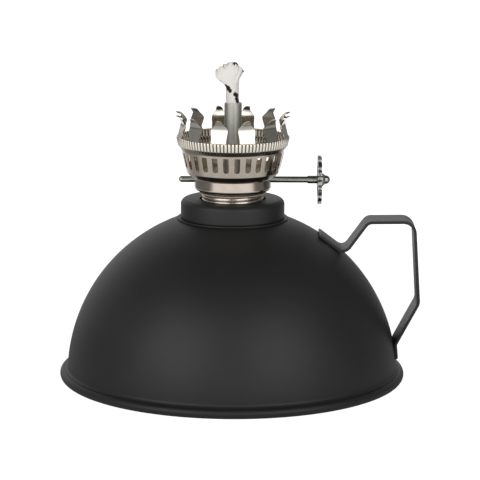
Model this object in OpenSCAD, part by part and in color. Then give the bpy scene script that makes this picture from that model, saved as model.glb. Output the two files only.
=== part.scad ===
// Small table kerosene lamp: a domed sheet-steel font with a strap handle and
// a screw-in burner that holds a round wick, its raiser and a pronged gallery.
// Millimetres. The lamp stands on z = 0 with its axis on Z. The handle and the
// raiser's thumb wheel are on +X, and -Y is the side that faces the viewer.

/* [Font] */
// Radius of the dome's wall at the table
font_r = 62.5; // [55:0.5:72]
// Height that the dome's curve reaches on the axis
font_h = 64.3; // [58:0.1:76]
// Thickness of the font's sheet steel
font_wall = 0.8; // [0.6:0.1:1.2]
// Width that the foot's lip stands out from the dome's wall
foot_lip = 2.7; // [2:0.1:4]
// Radius of the rolled hem round the foot
hem_r = 1.8; // [1.6:0.1:3]
// Thickness of the base plate
base_t = 0.8; // [0.6:0.1:1.4]

/* [Collar] */
// Outer radius of the black collar
collar_r = 19.5; // [18.5:0.1:24]
// Height of the collar
collar_h = 7.2; // [6.5:0.1:10]
// Rounding of the collar's top edge
collar_round = 2.1; // [0.5:0.1:3]
// Thickness of the lip at the top of the collar
collar_lip_t = 1.5; // [1:0.1:3]
// Width that the seat ring shows outside the collar
seat_lip = 1.4; // [0.8:0.1:3]
// Thickness of the seat ring
seat_t = 0.6; // [0.4:0.1:1.5]

/* [Thread] */
// Radius of the male thread's crests
thread_r = 11.7; // [11:0.1:12.5]
// Depth of the thread
thread_depth = 0.8; // [0.6:0.05:1]
// Pitch of the thread
thread_pitch = 1.4; // [1.2:0.05:1.8]
// Clearance between the male and the female thread
thread_gap = 0.3; // [0.25:0.05:0.4]
// Wall of the threaded bush outside its thread
bush_wall = 3; // [2.4:0.1:3.5]
// Height of thread that shows between the collar and the burner
thread_show = 2.6; // [2.2:0.1:4]
// Wall of the burner's skirt inside its thread
skirt_wall = 1.2; // [0.8:0.1:2]
// Length of the skirt below the collar's top
skirt_drop = 8.9; // [7:0.1:11]

/* [Burner body] */
// Outer radius of the cup that holds the raiser
cup_r = 14.45; // [13.6:0.05:15.5]
// Height of the cup
cup_h = 5.2; // [5:0.1:7]
// Rounding of the cup's bottom edge
cup_round = 1.3; // [0.9:0.1:1.4]
// Height of the cup's narrower foot
cup_step = 0.7; // [0.5:0.1:0.8]
// Radius of the cup's narrower foot
cup_foot_r = 12.3; // [12.2:0.1:12.6]
// Thickness of the cup's sheet
cup_wall = 0.8; // [0.6:0.1:1]
// Thickness of the thin nickel-plated sheet of the basket, gallery and prongs
sheet_t = 0.6; // [0.5:0.05:0.8]
// Radius of the air basket at the bottom of its wall
basket_low_r = 17.5; // [16.8:0.1:18]
// Radius of the air basket at its top
basket_top_r = 19.4; // [18.4:0.1:19.6]
// Height of the air basket
basket_h = 10.75; // [9:0.05:12]
// Height of the rounded bottom of the basket
basket_turn = 2.6; // [1.8:0.1:2.8]
// Number of air slots
slot_n = 28; // [20:1:30]
// Width of an air slot
slot_w = 2; // [1.6:0.1:2.2]
// Height of an air slot
slot_h = 6.5; // [4:0.1:7]
// Turn of the first slot from the viewer's side
slot_turn = 5; // [0:0.5:12]

/* [Gallery] */
// Outer radius of the fluted gallery ring
gallery_r = 21.2; // [20.6:0.1:22.5]
// Height of the gallery ring
gallery_h = 5.05; // [4.6:0.05:6.5]
// Height of the fluted band
flute_h = 3.3; // [2.8:0.1:4]
// Number of flutes
flute_n = 96; // [72:12:108]
// Depth of a flute
flute_depth = 0.2; // [0.1:0.05:0.3]
// Outer diameter of the glass chimney's foot that the prongs grip
chimney_d = 37.5; // [34:0.5:38]
// Number of prongs
prong_n = 12; // [8:2:12]
// Height of a prong
prong_h = 8.4; // [7:0.1:11]
// Width of a prong at its root
prong_root_w = 5.8; // [4:0.1:6]
// Width of a prong at its shoulder
prong_wide_w = 6.4; // [5:0.1:7]
// Width of a prong at its neck
prong_neck_w = 3.4; // [3:0.1:5]
// Width of a prong's rounded tip
prong_tip_w = 2.7; // [2:0.1:3.4]
// How far a prong's tip flares out from its waist
prong_flare = 3.1; // [1.5:0.1:3.4]

/* [Wick] */
// Outer diameter of the wick tube
tube_d = 6.5; // [6.2:0.1:7]
// Wall of the wick tube
tube_wall = 0.4; // [0.3:0.05:0.5]
// Height of the wick tube above the prongs
tube_show = 4; // [2:0.1:8]
// Length of the wick tube below the cup's floor
tube_drop = 6; // [3:0.1:9]
// Diameter of the round wick
wick_d = 5; // [4.4:0.1:5.2]
// Height of bare wick between the tube and the tuft
wick_show = 7; // [6.6:0.1:10]
// Height of the frayed tuft
tuft_h = 8.6; // [6:0.1:12]
// Width of the frayed tuft
tuft_w = 11; // [8:0.1:12]
// Height of the wick's tail above the table
wick_foot = 16; // [12:0.5:30]

/* [Raiser] */
// Diameter of the raiser's shaft
shaft_d = 2.4; // [2:0.1:2.4]
// Distance of the shaft behind the lamp's axis
shaft_back = 5.5; // [5.3:0.1:5.8]
// Height of the shaft above the cup's underside
shaft_up = 3.6; // [3.5:0.05:3.7]
// Length of the shaft's free end outside the cup
shaft_over = 7; // [3:0.1:10]
// Distance of the thumb wheel from the lamp's axis
wheel_x = 32.7; // [29:0.1:38]
// Diameter of the thumb wheel
wheel_d = 18.4; // [15:0.1:20]
// Thickness of the thumb wheel
wheel_t = 1.5; // [1.2:0.1:2.5]
// Number of scallops round the thumb wheel
scallop_n = 16; // [12:1:20]
// Length of the boss outside the thumb wheel
hub_l = 3.2; // [2.4:0.1:5]
// Diameter of that boss at the thumb wheel
hub_d = 5; // [4.2:0.1:6]
// Length of the sleeve inside the thumb wheel
sleeve_l = 3.8; // [2:0.1:5]
// Wall of that sleeve
sleeve_wall = 0.3; // [0.2:0.05:0.6]
// Number of teeth on the star wheel that feeds the wick
star_n = 8; // [6:1:10]
// Thickness of the star wheel
star_t = 1.6; // [1.2:0.1:2]

/* [Handle] */
// Width of the handle's strip
handle_w = 14; // [10:0.5:18]
// Thickness of the handle's strip
handle_t = 1.1; // [1:0.1:2]
// How far the handle stands out from the dome's foot radius
handle_out = 8.2; // [7:0.1:16]
// How far the grip's top lies below the dome's height
handle_drop = 3.2; // [0:0.1:6]
// Distance of the upper tab's middle from the lamp's axis
handle_tab_r = 36.9; // [32:0.1:40]
// Length of the upper tab on the dome
handle_tab_l = 11; // [8:0.1:13]
// Distance from the upper tab's middle to the rise's top
handle_rise = 14.5; // [12:0.1:16]
// Height of the lower bend above the table
handle_bend_z = 29.5; // [26:0.5:36]
// Lean of the upright part, out from top to bottom
handle_lean = 2; // [0:0.1:3]
// Height of the strip's lower end above the table
handle_foot_z = 8; // [6.5:0.1:10]
// Length of the lower tab
handle_foot_l = 6; // [5:0.1:10]

/* [Clearances] */
// Gap between pieces that are pressed, seamed or soldered together
seam_gap = 0.04; // [0.02:0.01:0.1]
// Gap between pieces that move past each other
run_gap = 0.3; // [0.25:0.01:0.4]
// Radial gap of the shaft in its bushes
shaft_gap = 0.06; // [0.02:0.01:0.1]

/* [Hidden] */
$fn = 64;

black = "#2b2b2b";
nickel = "#b8aca0";
steel = "#8a8b85";
brass = "#b59a5b";
cotton = "#ece6da";
rubber = "#1c1c1c";

// The dome's profile is the circular arc through three points of the ellipse
// that its foot radius and its height give.
function ellipse_at(t) = [font_r * cos(t), font_h * sin(t)];
function sq(p) = p * p;
function circle_centre(a, b, c) = let (d = 2 * (a.x * (b.y - c.y) + b.x * (c.y - a.y) + c.x * (a.y - b.y)))
    [(sq(a) * (b.y - c.y) + sq(b) * (c.y - a.y) + sq(c) * (a.y - b.y)) / d,
     (sq(a) * (c.x - b.x) + sq(b) * (a.x - c.x) + sq(c) * (b.x - a.x)) / d];
dome_c = circle_centre(ellipse_at(5), ellipse_at(42), ellipse_at(71));
dome_s = norm(ellipse_at(42) - dome_c);
function dome_z(r) = dome_c.y + sqrt(dome_s * dome_s - pow(r - dome_c.x, 2));
function dome_r(z) = dome_c.x + sqrt(dome_s * dome_s - pow(z - dome_c.y, 2));

// Foot: the dome's flange lies on the base plate's rim, which folds over it.
lip_r = font_r + foot_lip;
hem_x = lip_r - hem_r;
flange_t = font_wall;
flange_z = hem_r + 0.2;
flange_r = lip_r - 0.9;
fold_gap = 0.5;

// Heights of the stack from the dome to the wick.
seat_r = collar_r + seat_lip;
seat_z = dome_z(seat_r);
collar_z = seat_z + seat_t;
collar_top = collar_z + collar_h;
cup_z = collar_top + thread_show;
cup_top = cup_z + cup_h;
basket_top = cup_top + basket_h;
gallery_top = basket_top + gallery_h;
prong_top = gallery_top + prong_h;
tube_top = prong_top + tube_show;
tuft_z = tube_top + wick_show;
wick_top = tuft_z + tuft_h;

// Threaded bush and skirt. The rolled thread is a wave, right-handed.
bush_r = thread_r + thread_gap + bush_wall;
bush_top = collar_top - collar_lip_t - seam_gap;
bush_flange_t = 0.8;
bush_flange_w = 2.8;
bush_tail = 1.2;
bush_z = seat_z - font_wall - bush_flange_t - bush_tail;
skirt_z = collar_top - skirt_drop;
skirt_bore = thread_r - thread_depth - skirt_wall;
thread_sides = 36;
thread_rows = 6;
function thread_wave(z, a) = thread_r - thread_depth / 2 + thread_depth / 2 * cos(360 * z / thread_pitch - a);

// Wick tube, star wheel and shaft.
tube_r = tube_d / 2;
wick_r = wick_d / 2;
shaft_r = shaft_d / 2;
shaft_z = cup_z + shaft_up;
star_r = shaft_back - wick_r - run_gap;
star_root = star_r - 0.9;
bush_out = shaft_r + 0.38;
cup_wall_x = sqrt(pow(cup_r, 2) - pow(shaft_back, 2));
bush_in_x = cup_wall_x - 2.4;
bush_out_x = cup_wall_x + 0.6;
clip_t = 0.6;
clip_r = shaft_r + 0.6;
// The basket's raised floor clears the star wheel and the clips.
hub_top = shaft_z + star_r + run_gap;
hub_bore = norm([bush_in_x, shaft_back + clip_r]) + run_gap;
slot_reach = 2 * sqrt(pow(star_r, 2) - pow(shaft_back - tube_r, 2)) + 2 * run_gap;

// Handle: a strip bent along these points, with a bend radius at each.
handle_top = font_h - handle_drop;
grip_z = handle_top - handle_t / 2;
grip_x = font_r + handle_out - handle_t / 2;
tab_a = acos((handle_tab_r - dome_c.x) / dome_s);
tab_n = [cos(tab_a), sin(tab_a)];
tab_d = [-sin(tab_a), cos(tab_a)];
tab_mid = dome_c + (dome_s + handle_t / 2 + seam_gap) * tab_n;
foot_a = asin((handle_foot_z + handle_foot_l / 2 - dome_c.y) / dome_s);
foot_n = [cos(foot_a), sin(foot_a)];
foot_d = [-sin(foot_a), cos(foot_a)];
foot_mid = dome_c + (dome_s + handle_t / 2 + seam_gap) * foot_n;
handle_points = [
    tab_mid + handle_tab_l / 2 * tab_d,
    tab_mid - handle_tab_l / 2 * tab_d,
    [handle_tab_r + handle_rise, grip_z],
    [grip_x - handle_lean, grip_z],
    [grip_x, handle_bend_z],
    foot_mid + handle_foot_l / 2 * foot_d,
    foot_mid - handle_foot_l / 2 * foot_d];
handle_bends = [0, 2.4, 2.6, 4.4, 4, 2.6, 0];
bend_steps = 6;

// A path with its corners rounded to the given radii.
function unit(v) = v / norm(v);
function corner(p, i) = let (
    a = unit(p[i - 1] - p[i]), b = unit(p[i + 1] - p[i]),
    half = acos(a * b) / 2, r = handle_bends[i],
    c = p[i] + r / sin(half) * unit(a + b),
    s = p[i] + a * r / tan(half) - c, e = p[i] + b * r / tan(half) - c,
    a0 = atan2(s.y, s.x), da = ((atan2(e.y, e.x) - a0 + 540) % 360) - 180)
    [for (k = [0 : bend_steps]) c + r * [cos(a0 + da * k / bend_steps), sin(a0 + da * k / bend_steps)]];
function rounded(p) = [p[0],
    for (i = [1 : len(p) - 2]) each corner(p, i),
    p[len(p) - 1]];
// The outline of a strip of thickness t along a path.
function side_of(p, i) = let (
    d = unit((i > 0 ? unit(p[i] - p[i - 1]) : [0, 0]) + (i < len(p) - 1 ? unit(p[i + 1] - p[i]) : [0, 0])))
    [-d.y, d.x];
function strip(p, t) = concat(
    [for (i = [0 : len(p) - 1]) p[i] + t / 2 * side_of(p, i)],
    [for (i = [len(p) - 1 : -1 : 0]) p[i] - t / 2 * side_of(p, i)]);

// A thin wall: the profile's points [r, z] and the same points moved in by t.
module thin_wall(points, t) {
    inner = [for (i = [len(points) - 1 : -1 : 0]) points[i] - [t, 0]];
    rotate_extrude() polygon(concat(points, inner));
}

// A tube with one helical wall and one plain wall. offset_r widens the helix.
module helical_tube(z0, z1, offset_r, plain_r) {
    rows = ceil((z1 - z0) / thread_pitch * thread_rows);
    n = thread_sides;
    helix = [for (j = [0 : rows]) let (z = z0 + (z1 - z0) * j / rows)
        for (i = [0 : n - 1]) let (a = 360 * i / n, r = thread_wave(z, a) + offset_r)
            [r * cos(a), r * sin(a), z]];
    plain = [for (z = [z0, z1]) for (i = [0 : n - 1]) let (a = 360 * i / n)
        [plain_r * cos(a), plain_r * sin(a), z]];
    p0 = (rows + 1) * n;
    outside = offset_r == 0;
    function tri(a, b, c) = outside ? [a, c, b] : [a, b, c];
    faces = [for (i = [0 : n - 1]) let (k = (i + 1) % n) each [
        for (j = [0 : rows - 1]) each [
            tri(j * n + i, j * n + k, (j + 1) * n + k),
            tri(j * n + i, (j + 1) * n + k, (j + 1) * n + i)],
        tri(p0 + i, p0 + n + k, p0 + k),
        tri(p0 + i, p0 + n + i, p0 + n + k),
        tri(i, p0 + k, k),
        tri(i, p0 + i, p0 + k),
        tri(rows * n + i, rows * n + k, p0 + n + k),
        tri(rows * n + i, p0 + n + k, p0 + n + i)]];
    polyhedron(concat(helix, plain), faces);
}

// Domed sheet-steel shell with a flat seat for the collar and a foot flange.
module font_shell() {
    color(black) rotate_extrude() {
        difference() {
            intersection() {
                translate(dome_c) circle(r = dome_s);
                translate([0, flange_z]) square([lip_r, seat_z - flange_z]);
            }
            translate(dome_c) circle(r = dome_s - font_wall);
            square([seat_r, seat_z]);
        }
        translate([bush_r + seam_gap, seat_z - font_wall])
            square([seat_r - bush_r - seam_gap + font_wall, font_wall]);
        translate([dome_r(flange_z) - font_wall, flange_z])
            square([flange_r - dome_r(flange_z) + font_wall, flange_t]);
    }
}

// Flat base plate whose rim is rolled over the font's flange.
module base_plate() {
    fold_in = dome_r(flange_z) + fold_gap;
    color(black) rotate_extrude() difference() {
        union() {
            square([hem_x, base_t]);
            translate([hem_x, hem_r]) circle(r = hem_r);
        }
        translate([0, flange_z]) square([flange_r + seam_gap, flange_t + seam_gap]);
        translate([0, flange_z]) square([fold_in, 2 * hem_r]);
    }
}

// Thin washer between the dome and the collar.
module seat_ring() {
    color(black) translate([0, 0, seat_z]) difference() {
        cylinder(r = seat_r, h = seat_t);
        translate([0, 0, -1]) cylinder(r = bush_r + seam_gap, h = seat_t + 2);
    }
}

// Black collar over the bush, with a lip that closes the bush from above.
module collar() {
    color(black) rotate_extrude() difference() {
        union() {
            translate([0, collar_z]) square([collar_r - collar_round, collar_h]);
            translate([0, collar_z]) square([collar_r, collar_h - collar_round]);
            translate([collar_r - collar_round, collar_top - collar_round]) circle(r = collar_round);
        }
        square([thread_r + 2 * run_gap, 2 * collar_top]);
        square([bush_r + seam_gap, collar_top - collar_lip_t]);
    }
}

// Threaded brass bush: a flange under the dome holds it up in the collar.
module collar_bush() {
    flange_low = seat_z - font_wall - bush_flange_t;
    color(brass) {
        helical_tube(bush_z, bush_top, thread_gap, bush_r - seam_gap);
        translate([0, 0, flange_low]) difference() {
            cylinder(r = bush_r + bush_flange_w, h = bush_flange_t);
            translate([0, 0, -1]) cylinder(r = bush_r + seam_gap, h = bush_flange_t + 2);
        }
    }
}

// Strap handle of bent strip, welded to the dome at its two ends.
module handle() {
    color(black) translate([0, handle_w / 2, 0]) rotate([90, 0, 0])
        linear_extrude(height = handle_w) polygon(strip(rounded(handle_points), handle_t));
}

// Rubber ring under the burner's cup. It lifts with the burner as it unscrews.
module burner_gasket() {
    gasket_t = 0.4;
    gasket_w = 0.5;
    gasket_in = thread_r + run_gap;
    color(rubber) translate([0, 0, cup_z - gasket_t - seam_gap]) difference() {
        cylinder(r = gasket_in + gasket_w, h = gasket_t);
        translate([0, 0, -1]) cylinder(r = gasket_in, h = gasket_t + 2);
    }
}

// Threaded skirt of the burner, screwed into the bush.
module threaded_skirt() {
    color(nickel) helical_tube(skirt_z, cup_z, 0, skirt_bore);
}

// Drum-shaped cup on a narrower foot. It carries the raiser's shaft in two bushes.
module lower_cup() {
    drum_z = cup_z + cup_step;
    inner_round = max(cup_round - cup_wall, 0.05);
    color(nickel) difference() {
        rotate_extrude() difference() {
            union() {
                translate([0, cup_z]) square([cup_foot_r, cup_h]);
                translate([0, drum_z]) square([cup_r - cup_round, cup_top - drum_z]);
                translate([0, drum_z + cup_round]) square([cup_r, cup_top - drum_z - cup_round]);
                translate([cup_r - cup_round, drum_z + cup_round]) circle(r = cup_round);
            }
            translate([0, cup_z + cup_wall]) square([cup_foot_r - cup_wall, cup_h]);
            translate([0, drum_z + cup_wall]) square([cup_r - cup_wall - inner_round, cup_h]);
            translate([0, drum_z + cup_wall + inner_round]) square([cup_r - cup_wall, cup_h]);
            translate([cup_r - cup_wall - inner_round, drum_z + cup_wall + inner_round]) circle(r = inner_round);
            square([tube_r + seam_gap, cup_top]);
        }
        translate([0, shaft_back, shaft_z]) rotate([0, 90, 0])
            cylinder(r = bush_out + seam_gap, h = 3 * cup_r, center = true);
    }
}

// Slotted bowl that lets air in round the wick tube.
module air_basket() {
    foot_r = cup_r + 0.35;
    turn_r = (foot_r + basket_low_r) / 2;
    wall = [[foot_r, cup_top], [turn_r, cup_top + 0.4 * basket_turn],
        [basket_low_r - 0.3, cup_top + 0.75 * basket_turn],
        [basket_low_r, cup_top + basket_turn], [basket_top_r, basket_top]];
    hat_top = hub_top + sheet_t;
    slot_z = basket_top - slot_h;
    color(nickel) difference() {
        union() {
            thin_wall(wall, sheet_t);
            rotate_extrude() polygon([[foot_r, cup_top], [hub_bore, cup_top], [hub_bore, hub_top],
                [tube_r + seam_gap, hub_top], [tube_r + seam_gap, hat_top],
                [hub_bore + sheet_t, hat_top], [hub_bore + sheet_t, cup_top + sheet_t],
                [foot_r, cup_top + sheet_t]]);
        }
        for (i = [0 : slot_n - 1]) rotate([0, 0, slot_turn - 90 + 360 * i / slot_n])
            translate([basket_low_r - 2, 0, slot_z + slot_w / 2]) rotate([90, 0, 90])
                linear_extrude(height = basket_top_r) {
                    circle(d = slot_w);
                    translate([-slot_w / 2, 0]) square([slot_w, slot_h - slot_w / 2 - 0.3]);
                }
    }
}

// Flared gallery ring with a fluted band under its rim.
module gallery_ring() {
    root_r = gallery_r - flute_depth;
    flute_z = gallery_top - flute_h;
    neck_r = root_r - 0.1;
    mid_r = (basket_top_r + neck_r) / 2;
    mid_z = (basket_top + flute_z) / 2;
    wall = [[basket_top_r, basket_top], [mid_r, mid_z + 0.1], [neck_r - 0.4, flute_z],
        [neck_r, flute_z + 0.3]];
    flutes = [for (i = [0 : 2 * flute_n - 1]) let (a = 180 * i / flute_n,
        r = gallery_r - (i % 2) * flute_depth) [r * cos(a), r * sin(a)]];
    color(nickel) {
        thin_wall(wall, sheet_t);
        translate([0, 0, flute_z]) linear_extrude(height = flute_h) difference() {
            polygon(flutes);
            circle(r = root_r - sheet_t, $fn = 2 * flute_n);
        }
    }
}

// Ring of springy prongs that rise from the gallery and grip the chimney.
module prong_crown() {
    root_r = gallery_r - flute_depth;
    waist_r = chimney_d / 2 + sheet_t;
    lean = root_r - waist_r;
    wall = [[root_r, 0], [root_r - 0.5 * lean, 0.2], [root_r - 0.84 * lean, 0.4], [waist_r, 0.54],
        [waist_r + 0.05 * prong_flare, 0.63], [waist_r + 0.3 * prong_flare, 0.79],
        [waist_r + 0.62 * prong_flare, 0.9], [waist_r + prong_flare, 1]];
    sheet = [for (p = wall) [p.x, gallery_top + prong_h * p.y]];
    face = [[prong_root_w / 2, 0], [prong_root_w / 2, 0.2 * prong_h],
        [prong_wide_w / 2, 0.48 * prong_h], [prong_wide_w / 2, 0.6 * prong_h],
        [prong_neck_w / 2, 0.8 * prong_h], [prong_tip_w / 2, prong_h - prong_tip_w / 2]];
    outline = concat(face, [for (i = [len(face) - 1 : -1 : 0]) [-face[i].x, face[i].y]]);
    color(nickel) for (i = [0 : prong_n - 1]) rotate([0, 0, 360 * (i + 0.5) / prong_n - 90])
        intersection() {
            thin_wall(sheet, sheet_t);
            translate([chimney_d / 2 - 3, 0, gallery_top]) rotate([90, 0, 90])
                linear_extrude(height = gallery_r) {
                    polygon(outline);
                    translate([0, prong_h - prong_tip_w / 2]) circle(d = prong_tip_w);
                }
        }
}

// Steel wick tube, with a window where the star wheel reaches the wick.
module wick_tube() {
    tube_z = cup_z - tube_drop;
    color(steel) difference() {
        translate([0, 0, tube_z]) cylinder(r = tube_r, h = tube_top - tube_z);
        translate([0, 0, tube_z - 1]) cylinder(r = tube_r - tube_wall, h = tube_top - tube_z + 2);
        translate([-star_t / 2 - run_gap, 0, shaft_z - slot_reach / 2])
            cube([star_t + 2 * run_gap, tube_d, slot_reach]);
    }
}

// Soldered ring that holds the wick tube under the cup's floor.
module tube_ferrule() {
    ferrule_t = 1.2;
    ferrule_w = 1.5;
    color(nickel) translate([0, 0, cup_z - ferrule_t]) difference() {
        cylinder(r = tube_r + ferrule_w, h = ferrule_t);
        translate([0, 0, -1]) cylinder(r = tube_r + seam_gap, h = ferrule_t + 2);
    }
}

// Bush for the raiser's shaft in the cup's wall, on the side that side_x gives.
module shaft_bush(side_x) {
    color(nickel) translate([side_x * (bush_in_x + bush_out_x) / 2, shaft_back, shaft_z])
        rotate([0, 90, 0]) difference() {
            cylinder(r = bush_out, h = bush_out_x - bush_in_x, center = true);
            cylinder(r = shaft_r + shaft_gap, h = cup_r, center = true);
        }
}

// A ring on the raiser's shaft from x to x + length.
module shaft_ring(x, length, r) {
    translate([x, shaft_back, shaft_z]) rotate([0, 90, 0]) difference() {
        cylinder(r = r, h = length);
        translate([0, 0, -1]) cylinder(r = shaft_r + seam_gap, h = length + 2);
    }
}

// Plain steel shaft with rounded ends, behind the wick tube.
module raiser_shaft() {
    x0 = -cup_wall_x - shaft_over;
    x1 = wheel_x + wheel_t / 2 + hub_l / 2;
    color(steel) translate([x0, shaft_back, shaft_z]) rotate([0, 90, 0]) {
        translate([0, 0, shaft_r]) cylinder(r = shaft_r, h = x1 - x0 - shaft_r);
        translate([0, 0, shaft_r]) sphere(r = shaft_r);
    }
}

// Star wheel whose teeth feed the wick up and down.
module star_wheel() {
    points = [for (i = [0 : 2 * star_n - 1]) let (a = 180 * i / star_n,
        r = i % 2 == 0 ? star_r : star_root) [r * cos(a), r * sin(a)]];
    color(brass) translate([-star_t / 2, shaft_back, shaft_z]) rotate([0, 90, 0])
        linear_extrude(height = star_t) difference() {
            polygon(points);
            circle(r = shaft_r + seam_gap);
        }
}

// Two clips inside the cup that keep the shaft from sliding along.
module shaft_clips() {
    clip_x = bush_in_x - 2 * shaft_gap - clip_t;
    color(steel) for (x = [-clip_x - clip_t, clip_x]) shaft_ring(x, clip_t, clip_r);
}

// Scalloped thumb wheel with a dished web.
module thumb_wheel() {
    scallop_r = 1.25;
    web_r = wheel_d / 2 - 2.6;
    dish = 0.35;
    color(steel) translate([wheel_x - wheel_t / 2, shaft_back, shaft_z]) rotate([0, 90, 0])
        difference() {
            cylinder(d = wheel_d, h = wheel_t);
            translate([0, 0, -1]) cylinder(r = shaft_r + seam_gap, h = wheel_t + 2);
            for (i = [0 : scallop_n - 1]) rotate([0, 0, 360 * (i + 0.5) / scallop_n])
                translate([wheel_d / 2 + 0.4, 0, -1]) cylinder(r = scallop_r, h = wheel_t + 2);
            for (z = [-1, wheel_t - dish]) translate([0, 0, z]) difference() {
                cylinder(r = web_r, h = 1 + dish - max(0, z + 1 - wheel_t + dish));
                translate([0, 0, -1]) cylinder(d = hub_d, h = wheel_t + 4);
            }
        }
}

// Riveted boss on the outside of the thumb wheel.
module wheel_hub() {
    nose_r = hub_d / 3;
    color(steel) translate([wheel_x + wheel_t / 2, shaft_back, shaft_z]) rotate([0, 90, 0])
        difference() {
            rotate_extrude() {
                polygon([[0, 0], [hub_d / 2, 0], [hub_d / 2, 0.6], [nose_r + 0.3, 0.36 * hub_l],
                    [nose_r, hub_l - nose_r], [0, hub_l - nose_r]]);
                intersection() {
                    translate([0, hub_l - nose_r]) circle(r = nose_r);
                    square([hub_d, hub_l]);
                }
            }
            translate([0, 0, -1]) cylinder(r = shaft_r + seam_gap, h = hub_l / 2 + 1 + seam_gap);
        }
}

// Sleeve on the shaft against the inside of the thumb wheel.
module wheel_sleeve() {
    color(steel) shaft_ring(wheel_x - wheel_t / 2 - sleeve_l, sleeve_l, shaft_r + sleeve_wall);
}

// Round cotton wick with a frayed tuft that leans to -X, and a straight tail.
module wick() {
    left_r = 0.18 * tuft_w;
    right_r = 0.2 * tuft_w;
    color(cotton) {
        translate([0, 0, wick_foot]) cylinder(r = wick_r, h = tuft_z - wick_foot);
        hull() {
            translate([0, 0, tuft_z]) cylinder(r = wick_r, h = 0.3, $fn = 32);
            translate([left_r - 0.62 * tuft_w, 0, tuft_z + 0.44 * tuft_h]) sphere(r = left_r, $fn = 24);
            translate([0.38 * tuft_w - right_r, 0, tuft_z + 0.55 * tuft_h]) sphere(r = right_r, $fn = 24);
            translate([0, 0, wick_top - left_r]) sphere(r = left_r, $fn = 24);
        }
    }
}

font_shell();
base_plate();
seat_ring();
collar();
collar_bush();
handle();
burner_gasket();
threaded_skirt();
lower_cup();
air_basket();
gallery_ring();
prong_crown();
wick_tube();
tube_ferrule();
shaft_bush(-1);  // shaft_bush_left
shaft_bush(1);  // shaft_bush_right
raiser_shaft();
star_wheel();
shaft_clips();
thumb_wheel();
wheel_hub();
wheel_sleeve();
wick();
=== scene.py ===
# A small table kerosene lamp: a domed black font with a strap handle, and a screw-in
# nickel burner that carries a round wick, its raiser and a crown of chimney prongs.
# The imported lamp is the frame: metres, +Z up, the lamp's axis on Z, the table at z = 0.
import math
import random

import bpy
from mathutils import Matrix, Vector


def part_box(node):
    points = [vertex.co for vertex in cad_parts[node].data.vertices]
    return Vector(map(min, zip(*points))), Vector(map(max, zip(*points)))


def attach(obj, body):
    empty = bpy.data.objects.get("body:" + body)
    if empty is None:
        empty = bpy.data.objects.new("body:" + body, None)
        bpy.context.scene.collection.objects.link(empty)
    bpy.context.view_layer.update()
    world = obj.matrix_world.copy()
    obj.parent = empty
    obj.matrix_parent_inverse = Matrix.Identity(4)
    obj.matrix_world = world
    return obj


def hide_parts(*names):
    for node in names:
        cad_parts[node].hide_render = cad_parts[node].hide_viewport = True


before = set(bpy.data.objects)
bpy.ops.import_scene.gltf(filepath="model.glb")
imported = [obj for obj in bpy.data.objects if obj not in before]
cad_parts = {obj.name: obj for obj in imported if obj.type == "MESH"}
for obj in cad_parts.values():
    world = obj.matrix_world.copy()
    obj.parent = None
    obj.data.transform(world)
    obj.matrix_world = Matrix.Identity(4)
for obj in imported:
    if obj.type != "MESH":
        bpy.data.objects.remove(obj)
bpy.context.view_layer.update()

# Font shell: the fuel tank, a dome drawn from sheet steel and powder-coated matt black.
# Its top is pressed flat for the collar. Its edge turns out in a small fillet onto the base
# plate's rolled rim, and the coat closes the seam.
mm = 0.001
merge_gap, seam_gap = 0.002, 0.04
font_sheet, seat_bore, dome_steps = 0.8, 15.04, 168
dome_middle, dome_foot = (46.45, 43.03), (62.26, 5.6)
turn_start, turn_middle, flange_r = (62.31, 5.1), (62.58, 4.25), 63.35
coat_black, coat_pale = "#1b1b1b", "#262626"
peel_grain, peel_depth, cloud_size = 0.7, 0.05, 18.0


def corners(part):
    """The lowest and highest corners of a CAD node, in mm."""
    return [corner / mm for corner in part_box(part)]


def arc(start, through, end, steps):
    """Points on the circular arc that runs from start through a middle point to end."""
    (ax, ay), (bx, by), (cx, cy) = start, through, end
    a2, b2, c2 = ax * ax + ay * ay, bx * bx + by * by, cx * cx + cy * cy
    d = 2 * (ax * (by - cy) + bx * (cy - ay) + cx * (ay - by))
    ox = (a2 * (by - cy) + b2 * (cy - ay) + c2 * (ay - by)) / d
    oy = (a2 * (cx - bx) + b2 * (ax - cx) + c2 * (bx - ax)) / d
    first = math.atan2(ay - oy, ax - ox)
    turn = (math.atan2(cy - oy, cx - ox) - first) % math.tau
    if (math.atan2(by - oy, bx - ox) - first) % math.tau > turn:
        turn -= math.tau
    radius = math.hypot(ax - ox, ay - oy)
    angles = [first + turn * k / steps for k in range(steps + 1)]
    return [(ox + radius * math.cos(a), oy + radius * math.sin(a)) for a in angles]


def band(line, left, right):
    """The closed outline of a sheet that lies left and right of a line, by those widths."""
    def moved(width):
        found = []
        for i, point in enumerate(line):
            ahead = (Vector(line[min(i + 1, len(line) - 1)]) - Vector(point)).normalized()
            behind = (Vector(point) - Vector(line[max(i - 1, 0)])).normalized()
            along = (ahead + behind).normalized()
            reach = width / max(along.dot(ahead), along.dot(behind))
            found.append((point[0] - along.y * reach, point[1] + along.x * reach))
        return found
    return moved(left) + moved(-right)[::-1]


def draw(name, points):
    """A new mesh that is one line through points in mm. It is left in edit mode."""
    bpy.ops.object.select_all(action="DESELECT")
    bpy.ops.mesh.primitive_plane_add(size=mm)
    piece = bpy.context.object
    piece.name = name
    bpy.ops.object.mode_set(mode="EDIT")
    bpy.ops.mesh.merge(type="CENTER")
    bpy.ops.transform.translate(value=Vector(points[0]) * mm)
    for before, after in zip(points, points[1:]):
        step = (Vector(after) - Vector(before)) * mm
        bpy.ops.mesh.extrude_region_move(TRANSFORM_OT_translate={"value": step})
    bpy.ops.mesh.select_all(action="SELECT")
    return piece


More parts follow.
